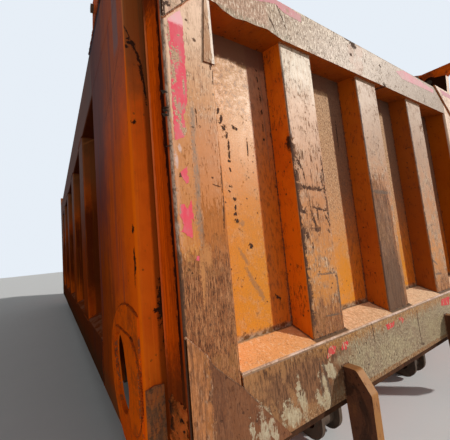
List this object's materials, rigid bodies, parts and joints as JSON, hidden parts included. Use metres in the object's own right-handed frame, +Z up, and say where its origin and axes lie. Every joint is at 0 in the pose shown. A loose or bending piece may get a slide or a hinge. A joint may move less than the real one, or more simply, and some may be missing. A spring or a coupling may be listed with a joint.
{
  "type": "dump body",
  "caption": "Steel tipper load box, open at the top, with ribbed walls on sills and a top-hinged ribbed tailgate that swings out at the bottom.",
  "frame": {"origin": "centre of the bounding box at the sills' feet", "axes": "+X forward to the front wall, +Y to the body's left, +Z up; the tailgate faces -X"},
  "size_m": [6.868, 2.528, 2.398],
  "materials": {
    "bare_steel": "matt",
    "orange_paint": "satin",
    "sunned_paint": "matt"
  },
  "bodies": {
    "box": {"floor_plate": "bare_steel", "sills": "bare_steel", "cross_members": "bare_steel", "rear_beam": "orange_paint", "tipping_hinges": "bare_steel", "side_sheet_left": "orange_paint", "side_sheet_right": "orange_paint", "side_ribs_left": "orange_paint", "side_ribs_right": "orange_paint", "side_top_rail_left": "orange_paint", "side_top_rail_right": "orange_paint", "side_bottom_rail_left": "orange_paint", "side_bottom_rail_right": "orange_paint", "rear_corner_left": "orange_paint", "rear_corner_right": "orange_paint", "front_corner_left": "orange_paint", "front_corner_right": "orange_paint", "front_sheet": "orange_paint", "front_ribs": "orange_paint", "front_top_rail": "orange_paint", "front_bottom_rail": "orange_paint", "headboard_posts": "orange_paint", "hoist_bracket": "orange_paint", "gate_hinge_brackets": "orange_paint", "rope_hooks": "bare_steel", "port_doublers": "orange_paint", "port_rings": "orange_paint", "corner_patch": "orange_paint"},
    "tailgate": {"gate_sheet": "orange_paint", "gate_post_left": "sunned_paint", "gate_post_right": "sunned_paint", "gate_top_rail": "sunned_paint", "gate_bottom_rail": "sunned_paint", "gate_ribs": "sunned_paint", "gate_post_caps": "sunned_paint", "gate_sill_bar": "bare_steel", "gate_corner_plates": "sunned_paint", "gate_seam_strip": "sunned_paint", "lock_lugs": "orange_paint", "gate_hinge_ears": "orange_paint", "gate_hinge_pins": "bare_steel"}
  },
  "joints": [
    {"name": "tailgate_hinge", "type": "hinge", "parent": "box", "child": "tailgate", "pos_m": [-3.226, 0, 2.078], "axis": [0, 1, 0], "range_deg": [0, 75]}
  ]
}
